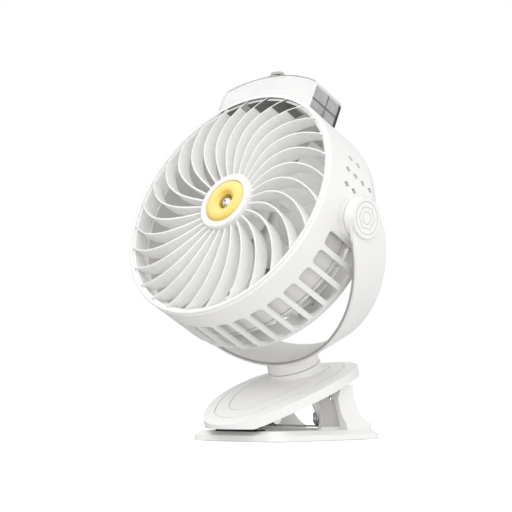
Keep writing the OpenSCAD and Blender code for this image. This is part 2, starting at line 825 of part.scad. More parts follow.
module air_shroud() color("#cfccc9") head_frame() difference() {
    union() {
        behind_lip(shroud_s1) ring(shroud_r, shroud_r - shroud_t, shroud_s1 - shroud_s0);
        behind_lip(shroud_s0 + 2) ring(drum_r - drum_wall - seat_fit, shroud_r - shroud_t, 2);
    }
    behind_lip(seam_s + 0.4) ring(shroud_r + 2, shroud_r - 0.9, 0.8);
    behind_lip(seat_s) rotate([-90, 0, 0]) cylinder(r = seat_r + gap, h = drum_r);
    both_sides() rotate([0, 90, 0]) cylinder(r = pivot_boss_r + gap, h = drum_r);
}

impeller_front = 28;
impeller_back = 52;
blade_mid = 46;
blade_steps = 6;
blade_t = 1.4;
impeller_wall = 1.5;

// Chord of the blade along the circumference and along the axis at a share of its span
function blade_chord(u) = 30 + 14 * u - 8 * u * u;
function blade_angle(u) = blade_root_angle + (blade_tip_angle - blade_root_angle) * u;

function blade_section(u) =
    let (r = impeller_hub_r - 0.8 + (blade_r - impeller_hub_r + 0.8) * u,
         c = blade_chord(u) / 2, g = blade_angle(u), lead = 10 * u,
         along = c * cos(g), up = c * sin(g), tx = blade_t / 2 * sin(g), tz = blade_t / 2 * cos(g))
    [
        for (p = [[-along - tx, up * -1 + tz], [along - tx, up + tz], [along + tx, up - tz],
                  [-along + tx, up * -1 - tz]])
            let (a = p[0] / r * 180 / PI + lead)
                [r * cos(a), r * sin(a), rim_z - blade_mid + p[1]]
    ];

module blade() loft([for (i = [0 : blade_steps]) blade_section(i / blade_steps)]);

module impeller() color("#e6e4e0") head_frame() difference() {
    union() {
        behind_lip(impeller_back) ring(impeller_hub_r, impeller_hub_r - impeller_wall,
            impeller_back - impeller_front - 1);
        behind_lip(impeller_front + impeller_wall + 1) cylinder(r = impeller_hub_r - 0.5, h = impeller_wall);
        behind_lip(impeller_front + 7) cylinder(r = 4, h = 6);
        difference() {
            for (i = [0 : blade_count - 1]) rotate([0, 0, i * 360 / blade_count]) blade();
            behind_lip(80) cylinder(r = impeller_hub_r - impeller_wall / 2, h = 80);
        }
    }
    behind_lip(impeller_front + 9) cylinder(r = shaft_r, h = 7.4);
}

module motor_shaft() color("#b9bcc0") head_frame() behind_lip(54)
    cylinder(r = shaft_r, h = 54 - impeller_front - 1.6);

// ---------------------------------------------------------------- power unit

pod_start = 57;
pod_wall = 2;
motor_len = 20;
cell_s = 68.4;
board_s = 79.2;
board_t = 1.2;
board_r = 33;
cover_t = 2;
rib_count = 24;
rib_w = 1.5;
rib_end = 1.5;
motor_screw_ring = 8;
pod_screw_ring = 37;
post_r = 2.6;

module motor() color("#9a9da1") head_frame() difference() {
    union() {
        behind_lip(pod_start) cylinder(r = motor_r, h = motor_len - 1);
        behind_lip(pod_start - motor_len + 2) cylinder(r = 4, h = 2.4);
    }
    behind_lip(54.5) cylinder(r = shaft_r + run_fit, h = 40);
    for (a = [0, 180]) rotate([0, 0, a]) translate([motor_screw_ring, 0, rim_z - pod_start - 1])
        cylinder(r = small_screw_r - 0.2, h = 5, $fn = 24);
}

module rear_grille() color("#f4f2ee") head_frame() difference() {
    union() {
        behind_lip(drum_len + 1)
            ring(rear_lip_r - seat_fit, ledge_r - rib_end, drum_len + 1 - ledge_s);
        behind_lip(drum_len + 1) ring((pod_r + ledge_r) / 2, (pod_r + ledge_r) / 2 - rib_w, 3);
        for (i = [0 : rib_count - 1]) rotate([0, 0, i * 360 / rib_count])
            translate([pod_r - 1, -rib_w / 2, rim_z - drum_len - 1])
                cube([ledge_r - pod_r, rib_w, 3]);
        behind_lip(pod_end - cover_t) ring(pod_r, pod_r - pod_wall, pod_end - cover_t - pod_start);
        behind_lip(pod_start + pod_wall) cylinder(r = pod_r, h = pod_wall);
        for (a = [45 : 90 : 315]) rotate([0, 0, a])
            translate([pod_screw_ring, 0, rim_z - pod_end + cover_t])
                cylinder(r = post_r, h = pod_end - cover_t - pod_start - 1, $fn = 32);
    }
    for (a = [0, 180]) rotate([0, 0, a]) translate([motor_screw_ring, 0, rim_z - pod_start - 5])
        cylinder(r = small_screw_r + seat_fit, h = 10, $fn = 24);
    for (a = [45 : 90 : 315]) rotate([0, 0, a]) {
        translate([grille_screw_ring, 0, rim_z - drum_len - 5])
            cylinder(r = small_screw_r + seat_fit, h = 10, $fn = 24);
        translate([grille_screw_ring, 0, rim_z - drum_len - 1 - eps])
            cylinder(r = 2.3, h = 1.5, $fn = 32);
        translate([pod_screw_ring, 0, rim_z - pod_end])
            cylinder(r = small_screw_r - 0.2, h = 10, $fn = 24);
    }
    behind_lip(pod_start + 5) cylinder(r = 3, h = 10);
}

// Small pan-head screw that points to +Z, with its head's back at the origin
module small_screw(len, head_r = 2) {
    cylinder(r = head_r, h = 1.2, $fn = 32);
    cylinder(r = small_screw_r - 0.25, h = len, $fn = 24);
}

module grille_screws() color("#a9adb2") head_frame()
    for (a = [45 : 90 : 315]) rotate([0, 0, a])
        translate([grille_screw_ring, 0, rim_z - drum_len - 0.8]) small_screw(6);

module motor_screws() color("#a9adb2") head_frame()
    for (a = [0, 180]) rotate([0, 0, a])
        translate([motor_screw_ring, 0, rim_z - pod_start - pod_wall - 1.2]) small_screw(5.4);

module battery_cells() color("#4d7fa8") head_frame() behind_lip(cell_s)
    for (y = [-1, 1]) translate([-cell_len / 2, y * (cell_r + 0.4), 0]) rotate([0, 90, 0])
        cylinder(r = cell_r, h = cell_len);

socket_y = -26.5;
socket_w = 8.9;
socket_h = 3.2;
button_x = 13;
button_y = 8;
lens_y = 24;
lens_step = 5;
lens_r = 1.1;

module control_board() color("#2f6b46") head_frame() behind_lip(board_s) difference() {
    union() {
        cylinder(r = board_r, h = board_t);
        for (x = [-1, 1]) translate([x * button_x - 3, button_y - 3, -0.6]) cube([6, 6, 1]);
    }
    translate([0, socket_y, -1]) linear_extrude(4) square([socket_w + 1, socket_h + 1], center = true);
}

module usb_socket() color("#b5b8bc") head_frame() behind_lip(pod_end - 0.2)
    translate([0, socket_y, 0]) difference() {
        linear_extrude(7) rounded_rect(socket_w, socket_h, 1.5);
        translate([0, 0, -1]) linear_extrude(7) rounded_rect(socket_w - 0.6, socket_h - 0.6, 1.2);
    }

module pod_cover() color("#f4f2ee") head_frame() difference() {
    union() {
        behind_lip(pod_end) cylinder(r = pod_r - 1, h = cover_t);
        behind_lip(pod_end - 1) cylinder(r = pod_r, h = cover_t - 1);
        behind_lip(pod_end - cover_t) ring(pod_r - pod_wall - seat_fit, pod_r - pod_wall - 1.2, 1);
    }
    for (x = [-1, 1]) translate([x * button_x, button_y, rim_z - pod_end - 1])
        cylinder(r = button_r + gap, h = 10);
    for (i = [-1.5 : 1.5]) translate([i * lens_step, lens_y, rim_z - pod_end - 1])
        cylinder(r = lens_r + seat_fit / 2, h = 10, $fn = 32);
    translate([0, socket_y, rim_z - pod_end - 1])
        linear_extrude(10) rounded_rect(socket_w + 2 * seat_fit, socket_h + 2 * seat_fit, 1.6);
    for (a = [45 : 90 : 315]) rotate([0, 0, a]) {
        translate([pod_screw_ring, 0, rim_z - pod_end - 1])
            cylinder(r = small_screw_r + seat_fit, h = 10, $fn = 24);
        translate([pod_screw_ring, 0, rim_z - pod_end - eps]) cylinder(r = 2.3, h = 1.3, $fn = 32);
        translate([pod_screw_ring - 3, -3, rim_z - pod_end + cover_t - eps])
            cube([10, 6, 5]);
    }
}

module pod_screws() color("#a9adb2") head_frame()
    for (a = [45 : 90 : 315]) rotate([0, 0, a])
        translate([pod_screw_ring, 0, rim_z - pod_end]) small_screw(7);

module indicator_lenses() color("#cfe6f2") head_frame()
    for (i = [-1.5 : 1.5]) translate([i * lens_step, lens_y, rim_z - pod_end]) {
        cylinder(r = lens_r, h = cover_t, $fn = 32);
        translate([0, 0, cover_t]) cylinder(r = lens_r + 0.5, h = 0.8, $fn = 32);
    }

module push_button() {
    translate([0, 0, -1]) cylinder(r = button_r, h = cover_t + 1.6);
    translate([0, 0, cover_t + 0.2]) cylinder(r = button_r + 1.2, h = 1);
}

module fan_button() color("#e4e2de") head_frame()
    translate([button_x, button_y, rim_z - pod_end]) push_button();

module mist_button() color("#e4e2de") head_frame()
    translate([-button_x, button_y, rim_z - pod_end]) push_button();

// ---------------------------------------------------------------- water tank

tank_r0 = drum_r + gap;
tank_r1 = tank_r0 + tank_h;
tank_round = 7;
plug_x = -4.5;
plug_s = 10.5;
filler_r = 4.2;

// Tank seen from the front: two arcs about the fan's axis, flat ends and rounded top corners
module tank_profile(inset) {
    r0 = tank_r0 + inset;
    r1 = tank_r1 - inset;
    half_w = tank_w / 2 - inset;
    corner = max(tank_round - inset, 1);
    corner_x = half_w - corner;
    corner_y = sqrt(pow(r1 - corner, 2) - pow(corner_x, 2));
    difference() {
        union() {
            intersection() {
                circle(r = r1, $fn = 360);
                polygon([[0, 0], [-2 * corner_x, 2 * corner_y], [2 * corner_x, 2 * corner_y]]);
            }
            translate([-half_w, 0]) square([2 * half_w, corner_y]);
            for (x = [-corner_x, corner_x]) translate([x, corner_y]) circle(r = corner);
        }
        circle(r = r0, $fn = 360);
    }
}

module tank_block(inset) {
    behind_lip(tank_start + tank_len - inset) linear_extrude(tank_len - 2 * inset)
        tank_profile(inset);
}

module tank() color("#e8ecee") head_frame() difference() {
    union() {
        tank_block(0);
        behind_lip(seat_s) rotate([-90, 0, 0]) translate([0, 0, drum_r - 5.6])
            cylinder(r = stub_r, h = 5.6 + 2.4);
        translate([plug_x, 0, 0]) behind_lip(plug_s) rotate([-90, 0, 0])
            translate([0, 0, tank_r1 - 2.5]) cylinder(r = filler_r + 1.8, h = 2.9);
    }
    tank_block(tank_wall);
    behind_lip(seat_s) rotate([-90, 0, 0]) translate([0, 0, drum_r - 10]) cylinder(r = 2, h = 15);
    translate([plug_x, 0, 0]) behind_lip(plug_s) rotate([-90, 0, 0])
        translate([0, 0, tank_r1 - 6]) cylinder(r = filler_r, h = 12);
}

module tank_plug() color("#bdb9b3") head_frame()
    translate([plug_x, 0, 0]) behind_lip(plug_s) rotate([-90, 0, 0]) translate([0, 0, tank_r1]) {
        translate([0, 0, -4]) cylinder(r = filler_r - gap, h = 5);
        translate([0, 0, 0.7]) cylinder(r = filler_r + 1.2, h = 1);
        translate([0, 0, 1.6]) cylinder(r = 2.2, h = 4);
        translate([0, 0, 4]) linear_extrude(2) rounded_rect(10.4, 5.8, 2.6);
    }

base_jaw();
sole_pad();
lower_grip_pad();
hinge_pin();
pin_clips();
clip_spring();
top_jaw();
upper_grip_pad();
yoke();
swivel_screw();
swivel_washer();
pivot_caps();
drum();
pivot_screws();
friction_washers();
front_grille();
accent_ring();
mist_nozzle();
atomiser_disc();
atomiser_seal();
wick();
hub_cap();
water_tube();
tank_seal();
air_shroud();
rear_grille();
grille_screws();
motor();
motor_screws();
battery_cells();
control_board();
usb_socket();
pod_cover();
pod_screws();
indicator_lenses();
impeller();
motor_shaft();
fan_button();
mist_button();
tank();
tank_plug();
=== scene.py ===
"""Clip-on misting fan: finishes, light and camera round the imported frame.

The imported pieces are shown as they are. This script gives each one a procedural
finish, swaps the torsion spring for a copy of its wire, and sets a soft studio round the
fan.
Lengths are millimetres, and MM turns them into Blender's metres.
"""

import json
import math

import bpy
from mathutils import Matrix, Vector


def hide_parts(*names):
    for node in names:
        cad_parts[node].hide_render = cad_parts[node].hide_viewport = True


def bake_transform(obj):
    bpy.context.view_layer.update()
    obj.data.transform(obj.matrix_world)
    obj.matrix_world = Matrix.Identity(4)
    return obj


MM = 0.001

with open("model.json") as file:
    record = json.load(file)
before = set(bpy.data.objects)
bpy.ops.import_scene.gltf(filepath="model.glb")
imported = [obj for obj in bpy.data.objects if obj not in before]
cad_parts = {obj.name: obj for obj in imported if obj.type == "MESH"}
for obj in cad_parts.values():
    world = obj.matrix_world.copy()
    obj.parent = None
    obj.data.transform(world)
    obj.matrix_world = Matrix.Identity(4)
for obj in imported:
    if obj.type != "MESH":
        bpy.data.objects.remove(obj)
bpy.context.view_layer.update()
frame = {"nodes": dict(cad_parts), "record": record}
scene = bpy.context.scene


# ---------------------------------------------------------------- places on the fan

SIDEWAYS = (1, 0, 0)
UPWARD = (0, 0, 1)


def reach(point, axis):
    """How far a point lies along an axis."""
    return sum(place * share for place, share in zip(point, axis))


# Where the fan's own parts lie, for the marks on them. FRONT, MIDDLE, REAR and PLANE are
# measured along the head's axis, LEVEL along its rise, and INSIDE and CROWN are radii.

PIVOT = (0, -31.6, 142.2)

HEAD_TILT = math.radians(26.2)
HEAD_AXIS = (0, -math.cos(HEAD_TILT), math.sin(HEAD_TILT))
HEAD_RISE = (0, math.sin(HEAD_TILT), math.cos(HEAD_TILT))
HEAD_CENTRE = reach(PIVOT, HEAD_RISE)
DRUM_INSIDE = 80
LIP_PLANE = 122.8

YOKE_LEAN = math.radians(22.4)
YOKE_UP = (0, -math.sin(YOKE_LEAN), math.cos(YOKE_LEAN))
YOKE_FRONT = (0, -math.cos(YOKE_LEAN), -math.sin(YOKE_LEAN))
YOKE_CENTRE = reach(PIVOT, YOKE_UP)
STRAP_INSIDE = 91.1

TANK_END = 42
TANK_CROWN = 99.9
TANK_FRONT = 118.9
TANK_REAR = 91.3
TANK_MIDDLE = (TANK_FRONT + TANK_REAR) / 2
TANK_LEVEL = 192

EAR_FACE = 29.3


# ---------------------------------------------------------------- camera

LOOK_AT = Vector((0.37, -31.5, 121.9)) * MM
CAMERA_DISTANCE = 1400 * MM
CAMERA_AZIMUTH = math.radians(42.26)
CAMERA_ELEVATION = math.radians(-3.22)
CAMERA_LENS = 148.8
CAMERA_SENSOR = 36
CAMERA_NEAREST = 50 * MM
CAMERA_FARTHEST = 50000 * MM


def add_camera():
    """Camera of the photograph, as recovered from the fan's circles."""
    flat = math.cos(CAMERA_ELEVATION)
    back = Vector((
        math.sin(CAMERA_AZIMUTH) * flat,
        -math.cos(CAMERA_AZIMUTH) * flat,
        math.sin(CAMERA_ELEVATION),
    ))
    right = Vector((math.cos(CAMERA_AZIMUTH), math.sin(CAMERA_AZIMUTH), 0))
    up = back.cross(right)
    data = bpy.data.cameras.new("studio_camera")
    data.lens = CAMERA_LENS
    data.sensor_width = CAMERA_SENSOR
    data.clip_start = CAMERA_NEAREST
    data.clip_end = CAMERA_FARTHEST
    camera = bpy.data.objects.new("studio_camera", data)
    scene.collection.objects.link(camera)
    turn = Matrix((right, up, back)).transposed().to_4x4()
    camera.matrix_world = Matrix.Translation(LOOK_AT + back * CAMERA_DISTANCE) @ turn
    scene.camera = camera


# ---------------------------------------------------------------- node trees

# Sockets of a Mix node that blends colours. They share their names with other sockets.
MIX_FACTOR, MIX_LOW, MIX_HIGH, MIX_RESULT = 0, 6, 7, 2

NOISE_ROUGHNESS = 0.55
BAND_CORE = 0.35
BEVEL_SAMPLES = 6


class Value:
    """A number or colour that varies over a surface, with ordinary arithmetic."""

    def __init__(self, tree, socket):
        self.tree = tree
        self.socket = socket

    def _math(self, operation, *terms):
        return self.tree.node("ShaderNodeMath", {"operation": operation}, terms)

    def __add__(self, other):
        return self._math("ADD", self, other)

    def __sub__(self, other):
        return self._math("SUBTRACT", self, other)

    def __rsub__(self, other):
        return self._math("SUBTRACT", other, self)

    def __mul__(self, other):
        return self._math("MULTIPLY", self, other)

    def __pow__(self, other):
        return self._math("POWER", self, other)

    def __abs__(self):
        return self._math("ABSOLUTE", self)

    __radd__ = __add__
    __rmul__ = __mul__

    def clamp(self):
        """The value, kept from 0 to 1."""
        return self._math("MINIMUM", self._math("MAXIMUM", self, 0.0), 1.0)


class Tree:
    """A node tree, with one way to add any node."""

    def __init__(self, node_tree):
        self.node_tree = node_tree

    def node(self, kind, settings=None, inputs=(), output=0):
        """Adds a node and returns its output as a Value. Sockets go by place or name."""
        made = self.node_tree.nodes.new(kind)
        for name, setting in (settings or {}).items():
            setattr(made, name, setting)
        sockets = inputs.items() if isinstance(inputs, dict) else enumerate(inputs)
        for key, value in sockets:
            if isinstance(value, Value):
                self.node_tree.links.new(value.socket, made.inputs[key])
            else:
                made.inputs[key].default_value = value
        return Value(self, made.outputs[output])

    def scale(self, vector, factors):
        """A vector with each of its parts multiplied by its own factor."""
        return self.node(
            "ShaderNodeVectorMath", {"operation": "MULTIPLY"}, [vector, factors]
        )

    def project(self, vector, axis):
        """Length of a vector along an axis."""
        return self.node(
            "ShaderNodeVectorMath", {"operation": "DOT_PRODUCT"}, [vector, axis], "Value"
        )


class Finish(Tree):
    """One procedural material, built on a Principled shader."""

    def __init__(self, name, **fixed):
        self.name = name
        self.material = bpy.data.materials.new(name)
        self.material.use_nodes = True
        super().__init__(self.material.node_tree)
        self.shader = self.node_tree.nodes["Principled BSDF"]
        for socket, value in fixed.items():
            self.shader.inputs[socket.replace("_", " ")].default_value = value

    def feed(self, socket, value):
        """Lets a value drive one of the shader's inputs."""
        self.node_tree.links.new(value.socket, self.shader.inputs[socket])

    def place(self):
        """Position on the piece, in millimetres."""
        metres = self.node("ShaderNodeTexCoord", output="Object")
        return self.scale(metres, (1 / MM,) * 3)

    def along(self, axis):
        """How far the surface lies along an axis, in millimetres."""
        return self.project(self.place(), axis)

    def radius(self, up, centre):
        """Distance in millimetres from the axis at a right angle to sideways and up."""
        return (self.along(SIDEWAYS) ** 2 + (self.along(up) - centre) ** 2) ** 0.5

    def facing(self, axis):
        """1 where the surface faces along an axis, down to -1 where it faces away."""
        return self.project(self.node("ShaderNodeTexCoord", output="Normal"), axis)

    def step(self, value, start, full):
        """Rises smoothly from 0 to 1 while the value goes from start to full."""
        return self.node(
            "ShaderNodeMapRange", {"interpolation_type": "SMOOTHSTEP"},
            {"Value": value, "From Min": start, "From Max": full},
        )

    def band(self, value, middle, half_width):
        """1 on a line, falling to 0 on both sides of it."""
        return self.step(abs(value - middle), half_width, half_width * BAND_CORE)

    def noise(self, size, detail, squeeze=(1, 1, 1)):
        """Cloudy value from 0 to 1, in clouds of about that size.

        A squeeze has one number per axis, and one below 1 draws the clouds out along it.
        """
        return self.node("ShaderNodeTexNoise", {}, {
            "Vector": self.scale(self.place(), squeeze),
            "Scale": 1 / size,
            "Detail": detail,
            "Roughness": NOISE_ROUGHNESS,
        })

    def blend(self, factor, low, high):
        """Colour between two others, which are plain colours or Values."""
        inputs = {MIX_FACTOR: factor}
        for socket, colour in ((MIX_LOW, low), (MIX_HIGH, high)):
            inputs[socket] = colour if isinstance(colour, Value) else (*colour, 1)
        return self.node("ShaderNodeMix", {"data_type": "RGBA"}, inputs, MIX_RESULT)

    def paint(self, colour, marks=()):
        """Base colour, with marks that are each a mask and the colour inside it."""
        for mask, marked in marks:
            colour = self.blend(mask, colour, marked)
        self.feed("Base Color", colour)

    def roughen(self, smoothest, *patterns):
        """Roughness from its lowest value up. Each pattern adds a share of itself."""
        added = (share * value for share, value in patterns)
        self.feed("Roughness", sum(added, smoothest))

    def relief(self, height, depth, rounding=0.0):
        """Surface relief from a height value, on edges that are softly rounded."""
        inputs = {"Height": height, "Strength": 1.0, "Distance": depth * MM}
        if rounding:
            inputs["Normal"] = self.node(
                "ShaderNodeBevel", {"samples": BEVEL_SAMPLES}, {"Radius": rounding * MM}
            )
        self.feed("Normal", self.node("ShaderNodeBump", {}, inputs))


# ---------------------------------------------------------------- marks

# A mark is a function that gives a mask and the colour inside it. The constants above it
# say where its mask starts and where it is full: FACING compares the surface's direction
# with an axis, and the others are millimetres. BAND is half the width of a line.

# Painted shade: the inner faces of the drum that look down under the tank's dock are
# coloured dark grey.
DOCK_SHADE_FACING = (-0.45, -0.65)
DOCK_SHADE_RADIUS = (DRUM_INSIDE - 9, DRUM_INSIDE - 8)
DOCK_SHADE_SIDE = (TANK_END - 4, TANK_END - 9)
DOCK_SHADE_RISE = (30, 31)
DOCK_SHADE_DEPTH = (LIP_PLANE - 14, LIP_PLANE - 10)
DOCK_SHADE_GREY = (0.15, 0.147, 0.143)


def dock_shade(finish):
    """Painted shade: dark grey on the downward inner faces of the shell, under the tank's
    dock.
    """
    inward = finish.step(finish.facing(HEAD_RISE), *DOCK_SHADE_FACING)
    inside = finish.step(finish.radius(HEAD_RISE, HEAD_CENTRE), *DOCK_SHADE_RADIUS)
    between = finish.step(abs(finish.along(SIDEWAYS)), *DOCK_SHADE_SIDE)
    high = finish.step(finish.along(HEAD_RISE) - HEAD_CENTRE, *DOCK_SHADE_RISE)
    front = finish.step(finish.along(HEAD_AXIS), *DOCK_SHADE_DEPTH)
    return inward * inside * between * high * front, DOCK_SHADE_GREY


# Painted shade: the faces that look out along the head's axis are coloured a darker
# white.
FRONT_SHADE_FACING = (0.55, 0.85)
FRONT_SHADE_WHITE = (0.70, 0.695, 0.685)


def front_face_shade(finish):
    """Painted shade: darker white on the front faces of the vanes, the lip, the hub and
    the drum's rim.
    """
    return finish.step(finish.facing(HEAD_AXIS), *FRONT_SHADE_FACING), FRONT_SHADE_WHITE


# Painted shade: a warm grey line is coloured into both edges of the strap, along their
# inner corner.
STRAP_FACING = (0.80, 0.93)
STRAP_RADIUS = (STRAP_INSIDE + 2.0, STRAP_INSIDE + 1.4)
STRAP_HEIGHT = (-8, -12)
STRAP_SHADE_GREY = (0.38, 0.365, 0.345)


def strap_edge_shade(finish):
    """Painted shade: warm grey line along the inner corner of both edges of the strap."""
    edge = finish.step(abs(finish.facing(YOKE_FRONT)), *STRAP_FACING)
    inner = finish.step(finish.radius(YOKE_UP, YOKE_CENTRE), *STRAP_RADIUS)
    below = finish.step(finish.along(YOKE_UP) - YOKE_CENTRE, *STRAP_HEIGHT)
    return edge * inner * below, STRAP_SHADE_GREY


# Painted shade: the sunk outer faces of the pin ears are coloured grey.
EAR_FACING = (0.80, 0.95)
EAR_HEIGHT = (8.0, 9.5)
EAR_BAND = 0.9
EAR_SHADE_GREY = (0.42, 0.41, 0.395)


def recessed_ear_shade(finish):
    """Painted shade: grey on the sunk outer faces of the pin ears."""
    flat = finish.step(abs(finish.facing(SIDEWAYS)), *EAR_FACING)
    high = finish.step(finish.along(UPWARD), *EAR_HEIGHT)
    sunk = finish.band(abs(finish.along(SIDEWAYS)), EAR_FACE, EAR_BAND)
    return flat * high * sunk, EAR_SHADE_GREY


LEVEL_BAND = 1.0
RIB_BAND = 0.8


def tank_lines(finish):
    """Mask of the tank's moulded lines: the water level, and the rib round its middle."""
    level = finish.band(finish.along(HEAD_RISE), TANK_LEVEL, LEVEL_BAND)
    rib = finish.band(finish.along(HEAD_AXIS), TANK_MIDDLE, RIB_BAND)
    return level + rib - level * rib


# Painted shade: the tank's end is coloured grey, darkest at its rear corner; the moulded
# lines on it are real.
END_SIDE = (TANK_END - 0.6, TANK_END - 0.1)
END_SHADE_DARK = (0.38, 0.38, 0.38)
END_SHADE_LIGHT = (0.66, 0.66, 0.66)
CORNER_DEPTH = (TANK_REAR + 3.2, TANK_REAR + 1.6)
CORNER_SHADE_GREY = (0.03, 0.03, 0.03)
LINE_STRENGTH = 0.9
LINE_GREY = (0.10, 0.10, 0.10)


def tank_end_shade(finish):
    """Painted shade: grey end of the tank and a dark rear corner, with the moulded lines.
    """
    end = finish.step(abs(finish.along(SIDEWAYS)), *END_SIDE)
    grey = finish.blend(finish.noise(size=5, detail=2), END_SHADE_DARK, END_SHADE_LIGHT)
    lined = finish.blend(LINE_STRENGTH * tank_lines(finish), grey, LINE_GREY)
    corner = finish.step(finish.along(HEAD_AXIS), *CORNER_DEPTH)
    return end, finish.blend(corner, lined, CORNER_SHADE_GREY)


# Painted shade: a grey outline is coloured along the tank's crown where it meets the
# front.
BRIM_RADIUS = (TANK_CROWN - 1.3, TANK_CROWN - 0.5)
BRIM_DEPTH = (TANK_FRONT - 1.6, TANK_FRONT - 0.8)
BRIM_SHADE_GREY = (0.36, 0.355, 0.35)


def tank_brim_shade(finish):
    """Painted shade: grey outline where the tank's crown rolls over to its front."""
    crown = finish.step(finish.radius(HEAD_RISE, HEAD_CENTRE), *BRIM_RADIUS)
    front = finish.step(finish.along(HEAD_AXIS), *BRIM_DEPTH)
    return crown * front, BRIM_SHADE_GREY


# ---------------------------------------------------------------- finishes

def shaded(colour, share):
    """A colour at a share of its brightness."""
    return tuple(channel * share for channel in colour)


def moulded_plastic(name, colour, smoothest=0.37, rounding=0.45, marks=()):
    """Satin injection-moulded plastic with faint flow clouds and spark-eroded grain."""
    finish = Finish(name, IOR=1.5)
    clouds = finish.noise(size=38, detail=2)
    grain = finish.noise(size=0.35, detail=2)
    plain = finish.blend(clouds, shaded(colour, 0.97), colour)
    finish.paint(plain, [mark(finish) for mark in marks])
    finish.roughen(smoothest, (0.10, clouds), (0.05, grain))
    finish.relief(grain, depth=0.004, rounding=rounding)
    return finish


def metal(name, colour, smoothest, squeeze=(1, 1, 1)):
    """Plated or drawn metal, with fine lines that the squeeze draws out."""
    finish = Finish(name, Metallic=1.0)
    haze = finish.noise(size=6, detail=2)
    lines = finish.noise(size=0.6, detail=3, squeeze=squeeze)
    finish.paint(finish.blend(haze, shaded(colour, 0.82), colour))
    finish.roughen(smoothest, (0.16, lines))
    finish.relief(lines, depth=0.006, rounding=0.15)
    return finish


def rubber(name, colour, smoothest=0.72):
    """Matt moulded rubber with a dusty bloom."""
    finish = Finish(name, IOR=1.45)
    bloom = finish.noise(size=9, detail=4)
    pores = finish.noise(size=0.5, detail=2)
    dusty = tuple(channel + 0.004 for channel in shaded(colour, 1.35))
    finish.paint(finish.blend(bloom, colour, dusty))
    finish.roughen(smoothest, (0.12, bloom))
    finish.relief(pores, depth=0.02, rounding=0.3)
    return finish


def clear_plastic(name, tint, smoothest, clarity):
    """Clear moulded plastic with slight ripples in its walls."""
    finish = Finish(name, IOR=1.49, Transmission_Weight=clarity)
    ripples = finish.noise(size=14, detail=1)
    finish.paint(finish.blend(ripples, shaded(tint, 0.985), tint))
    finish.roughen(smoothest, (0.03, ripples))
    finish.relief(ripples, depth=0.05, rounding=0.3)
    return finish


def tank_plastic(name):
    """Frosty clear plastic of the tank, with painted shade on its brim and end, and its
    moulded lines standing proud.
    """
    finish = Finish(name, IOR=1.3, Transmission_Weight=0.45)
    ripples = finish.noise(size=14, detail=1)
    frost = finish.blend(ripples, (0.90, 0.90, 0.895), (0.95, 0.95, 0.945))
    finish.paint(frost, [tank_brim_shade(finish), tank_end_shade(finish)])
    finish.roughen(0.16, (0.06, ripples))
    finish.relief(ripples + tank_lines(finish), depth=0.08, rounding=0.3)
    return finish


def glossy_plastic(name, colour, deep):
    """High-gloss lacquered plastic, with a deeper colour in places."""
    finish = Finish(name, IOR=1.5, Coat_Weight=1.0, Coat_Roughness=0.04)
    swirl = finish.noise(size=11, detail=2)
    finish.paint(finish.blend(swirl, deep, colour))
    finish.roughen(0.16, (0.08, swirl))
    finish.relief(finish.noise(size=0.8, detail=1), depth=0.002, rounding=0.5)
    return finish


def pressed_cotton(name):
    """Pressed cotton fibre, drawn out along the wick."""
    finish = Finish(name, Sheen_Weight=0.4)
    fibres = finish.noise(size=0.4, detail=4, squeeze=(1, 1, 0.15))
    finish.paint(finish.blend(fibres, (0.70, 0.68, 0.62), (0.88, 0.87, 0.82)))
    finish.roughen(0.85, (0.1, fibres))
    finish.relief(fibres, depth=0.12)
    return finish


def circuit_board(name):
    """Solder mask with copper traces showing faintly through it."""
    finish = Finish(name, IOR=1.5)
    traces = finish.node("ShaderNodeTexBrick", {"offset": 0.5}, {
        "Vector": finish.place(),
        "Scale": 0.35,
        "Mortar Size": 0.06,
        "Mortar Smooth": 0.2,
    }, "Fac")
    finish.paint(finish.blend(traces, (0.012, 0.10, 0.045), (0.05, 0.22, 0.10)))
    finish.roughen(0.35, (0.15, traces))
    finish.relief(traces, depth=0.03, rounding=0.1)
    return finish


def shrink_film(name):
    """Blue shrink film over a cell, with long soft creases."""
    finish = Finish(name, IOR=1.5, Coat_Weight=0.3)
    creases = finish.noise(size=5, detail=3, squeeze=(0.15, 1, 1))
    finish.paint(finish.blend(creases, (0.03, 0.12, 0.30), (0.06, 0.20, 0.42)))
    finish.roughen(0.32, (0.12, creases))
    finish.relief(creases, depth=0.05)
    return finish


# ---------------------------------------------------------------- pieces

SHELL_WHITE = (0.82, 0.812, 0.795)
# Painted light: the grille's white is brighter than the shell's so that its vanes look
# lit.
GRILLE_LIT_WHITE = (0.93, 0.925, 0.915)
FAN_WHITE = (0.86, 0.855, 0.845)
SHROUD_WHITE = (0.72, 0.712, 0.70)
RING_YELLOW = (0.77, 0.57, 0.095)
RING_DEEP_YELLOW = (0.7469, 0.513, 0.07125)


